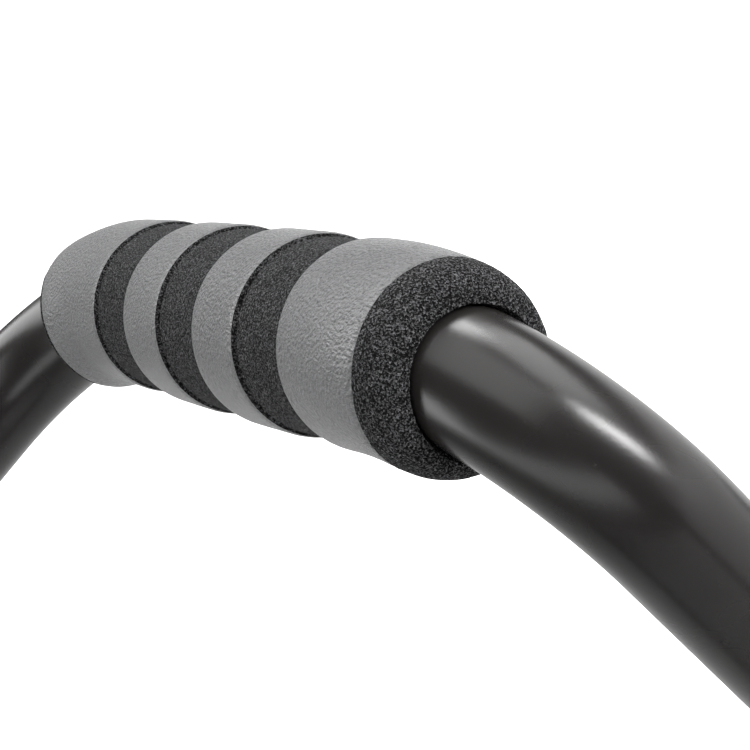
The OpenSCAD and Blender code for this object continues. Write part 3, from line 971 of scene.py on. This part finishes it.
def hook_strip():
    """The rubber strip under the hook bar: one section carried along X, its underside ribbed by
    0.7 mm (1 - cos(2 pi y / 5 mm)) / 2."""
    rib, pitch, plain = 0.0007, 0.005, 0.003
    lo, hi = corners("hook_rubber")
    seat, top = float(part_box("hook_bar")[0][2]), float(hi[2])
    front, back = float(lo[1]), float(hi[1])
    # flat under the hook bar, round its front edge and back over the first 16 mm of it
    section = [(front, 0.0015), (front + 0.0015, 0.0), (back - 0.001, 0.0), (back, 0.001), (back, seat)]
    section += [(front + 0.003, seat), (front + 0.003, seat + 0.003)]
    section += [(front + 0.016, seat + 0.003), (front + 0.016, top - 0.001), (front + 0.015, top)]
    section += [(front + 0.0015, top), (front, top - 0.0015)]
    p = np.array(section)
    w = np.linspace(0, 1, 14, endpoint=False)[:, None]
    fine = np.concatenate([a + (b - a) * w for a, b in zip(p, np.roll(p, -1, 0), strict=True)])
    under = (fine[:, 1] < 1e-5) & (fine[:, 0] > front + plain) & (fine[:, 0] < back - plain)
    fine[:, 1] += rib * under * (0.5 - 0.5 * np.cos((fine[:, 0] - front) * 2 * math.pi / pitch))
    length = np.linspace(lo[0] + 0.002, hi[0] - 0.002, 60)
    x = np.concatenate([[lo[0], lo[0] + 0.0004], length, [hi[0] - 0.0004, hi[0]]])
    grid = np.zeros((len(x), len(fine), 3))
    grid[:, :, 0] = x[:, None]
    grid[:, :, 1], grid[:, :, 2] = fine[None, :, 0], fine[None, :, 1]
    strip = ring_surface("hook_strip", grid, "open")
    close_ends(strip)
    dress(strip, "hook_frame", "black_rubber", "hook_rubber")
    sharp_edges(strip, 40)


def close_ends(piece):
    """Fills the open ends of a swept section."""
    work = bmesh.new()
    work.from_mesh(piece.data)
    bmesh.ops.holes_fill(work, edges=[e for e in work.edges if e.is_boundary], sides=0)
    bmesh.ops.triangulate(work, faces=[f for f in work.faces if len(f.verts) > 4])
    bmesh.ops.recalc_face_normals(work, faces=work.faces)
    work.to_mesh(piece.data)
    work.free()


class BAR_OT_pads(bpy.types.Operator):
    """Ribbed rubber door pads and the rubber strip under the hook bar"""

    bl_idname = "bar.pads"
    bl_label = "Rubber pads"

    def execute(self, context):
        for name, _ in SIDES:
            door_pad(name)
        hook_strip()
        return {"FINISHED"}


class BAR_OT_welds(bpy.types.Operator):
    """Weld beads where the legs and the knob bosses join the sleeves"""

    bl_idname = "bar.welds"
    bl_label = "Weld beads"

    def execute(self, context):
        lo, hi = corners("right_sleeve_plug")
        sleeve, boss = float(hi[0] - lo[0]) / 2, 0.009
        leg_bead, boss_bead = 0.0013, 0.0011
        f = np.linspace(0, 2 * math.pi, 420, endpoint=False)
        c, s = np.cos(f), np.sin(f)
        for name, sign in SIDES:
            # two equal round tubes at right angles meet where z = r |cos f|
            line = np.stack([sleeve * s, sleeve * c, np.sqrt(np.maximum((sleeve * c) ** 2, 1e-7))], -1)
            out = np.stack([s, c, np.full_like(f, 0.6)], -1)
            place = line + np.array([sign * SIDE_X, LEG_Y, ARM_Z])
            dress(curve_bead(name + "_leg_weld", place, out, leg_bead), "front_frame", "black_paint")
            # a thin boss across a wide sleeve meets it where x = sqrt(r^2 - z^2)
            line = np.stack([-sign * np.sqrt(sleeve**2 - (boss * s) ** 2), boss * c, boss * s], -1)
            out = np.stack([np.full_like(f, -sign * 0.5), c, s], -1)
            place = line + np.array([sign * SIDE_X, middle(name + "_knob_screw")[1], ARM_Z])
            dress(curve_bead(name + "_boss_weld", place, out, boss_bead), "front_frame", "black_paint")
        return {"FINISHED"}


class BAR_OT_finishes(bpy.types.Operator):
    """Finishes on the solids that show as they are"""

    bl_idname = "bar.finishes"
    bl_label = "Finishes"

    def execute(self, context):
        slots = {part["node"]: part["material_slot"] for part in frame["record"]["subparts"]}
        for name, solid in NODES.items():
            material = finish_of(slots[name])
            if not solid.data.materials:
                solid.data.materials.append(material)
            for k in range(len(solid.material_slots)):
                solid.material_slots[k].material = material
        return {"FINISHED"}


# ---------------------------------------------------------------- stage


def stand(thing, place, ahead, right):
    """Stands a lamp or the camera at place, looking along ahead, with right on its right hand."""
    ahead = ahead / np.linalg.norm(ahead)
    right = right - ahead * np.dot(right, ahead)
    right = right / np.linalg.norm(right)
    turn = np.eye(4)
    turn[:3, 0], turn[:3, 1], turn[:3, 2], turn[:3, 3] = right, np.cross(right, ahead), -ahead, place
    thing.matrix_world = Matrix(turn)
    bpy.context.scene.collection.objects.link(thing)


def soft_light(name, place, target, size, power):
    """A rectangular area light, aimed at its target."""
    light = bpy.data.lights.new(name, "AREA")
    light.shape = "RECTANGLE"
    light.size, light.size_y = size
    light.energy = power
    ahead = (target - place) / np.linalg.norm(target - place)
    level = Z if abs(ahead[2]) < 0.95 else Y
    stand(bpy.data.objects.new(name, light), place, ahead, np.cross(ahead, level))


def add_floor(base):
    """A square of matt floor just under the object."""
    reach, points_a_side, gap = 7.0, 15, 0.0005
    t = np.linspace(-reach, reach, points_a_side)
    x, y = np.meshgrid(t, t, indexing="ij")
    points = np.stack([x.ravel(), y.ravel(), np.full(x.size, float(CAD_BOX[0][2]) - gap)], -1)
    floor = mesh_object("floor", points, grid_faces(points_a_side, points_a_side, False, False))
    if floor.data.polygons[0].normal.z < 0:
        floor.data.flip_normals()
    floor.data.materials.append(floor_material(base))


def add_world():
    """White surroundings, which give a little less light than they show, and far less shine."""
    seen, given, mirrored = ((v, v, v) for v in (1.0, 0.66, 0.12))
    world = bpy.data.worlds.new("studio")
    world.use_nodes = True
    tree = world.node_tree
    path = tree.nodes.new("ShaderNodeLightPath")
    dim = blend_colour(tree, path.outputs["Is Glossy Ray"], given, mirrored)
    sky = blend_colour(tree, path.outputs["Is Camera Ray"], dim, seen)
    feed(tree, tree.nodes["Background"], Color=sky)
    bpy.context.scene.world = world


class BAR_OT_stage(bpy.types.Operator):
    """Pale floor, soft studio light and the camera"""

    bl_idname = "bar.stage"
    bl_label = "Stage"

    def execute(self, context):
        scene, look = context.scene, context.scene.bar_stage
        add_floor(tuple(look.floor))
        add_world()
        grip = np.array([-SIDE_X, (LEG_Y + FRONT_Y) / 2, HANDLE_Z])
        # name, azimuth, elevation, distance from the left grip, size and power
        lamps = (
            ("key", -82, 30, 1.5, (1.3, 0.9), look.key),
            ("strip", -38, 16, 1.5, (0.26, 0.7), look.strip),
            ("overhead", -14, 72, 1.6, (1.5, 1.5), look.key),
            ("rim", -108, 46, 1.5, (0.5, 0.5), look.strip * 0.45),
            ("side", 62, 10, 1.4, (2.4, 0.40), look.strip * 0.31),
            ("edge", 110, 20, 1.4, (0.3, 0.6), look.strip * 0.16),
        )
        for name, azimuth, elevation, far, size, power in lamps:
            a, e = math.radians(azimuth), math.radians(elevation)
            spot = grip + far * np.array([math.sin(a) * math.cos(e), math.cos(a) * math.cos(e), math.sin(e)])
            soft_light(name, spot, grip, size, power)
        behind = grip + [0.0, -1.2, -0.3]
        soft_light("sweep", grip + [0.0, -2.2, 1.9], behind, (3.0, 2.0), look.sweep)
        camera = bpy.data.cameras.new("camera")
        camera.lens = look.lens
        camera.sensor_width = 36.0
        camera.clip_start = 0.01
        eye = bpy.data.objects.new("camera", camera)
        # over the user's left handle from behind its leg, rolled so that the handle lies across the picture
        place = grip + [0.0878, 0.4062, 0.1512]
        ahead, right = np.array([-0.2155, -0.8902, -0.4014]), np.array([-0.6028, 0.4446, -0.6625])
        stand(eye, place, ahead, right)
        scene.camera = eye
        scene.view_settings.view_transform = "Standard"
        return {"FINISHED"}


# ---------------------------------------------------------------- panel and registration


class BAR_PT_panel(bpy.types.Panel):
    """Sizes, colours and the steps that build the pull up bar"""

    bl_idname = "BAR_PT_panel"
    bl_label = "Pull Up Bar"
    bl_space_type = "VIEW_3D"
    bl_region_type = "UI"
    bl_category = "Pull Up Bar"

    def draw(self, context):
        for step in STEPS:
            self.layout.operator(step.bl_idname)
        for name, settings in SETTINGS.items():
            box = self.layout.box()
            box.label(text=settings.__doc__)
            for key in settings.__annotations__:
                box.prop(getattr(context.scene, name), key)


SETTINGS = {"bar_grips": GripSizes, "bar_frame": FrameSizes, "bar_finish": Finish, "bar_stage": StageLook}
STEPS = (BAR_OT_stage, BAR_OT_finishes, BAR_OT_tubes, BAR_OT_grips)
STEPS += (BAR_OT_caps, BAR_OT_knobs, BAR_OT_pads, BAR_OT_welds)
CLASSES = (*SETTINGS.values(), *STEPS, BAR_PT_panel)


def register():
    for cls in CLASSES:
        bpy.utils.register_class(cls)
    for name, settings in SETTINGS.items():
        setattr(bpy.types.Scene, name, PointerProperty(type=settings))


def unregister():
    for name in SETTINGS:
        delattr(bpy.types.Scene, name)
    for cls in reversed(CLASSES):
        bpy.utils.unregister_class(cls)


def main():
    """Registers the classes and builds every piece."""
    register()
    bpy.ops.bar.stage()
    bpy.ops.bar.finishes()
    bpy.ops.bar.tubes()
    bpy.ops.bar.grips()
    bpy.ops.bar.caps()
    bpy.ops.bar.knobs()
    bpy.ops.bar.pads()
    bpy.ops.bar.welds()


if __name__ == "__main__":
    main()
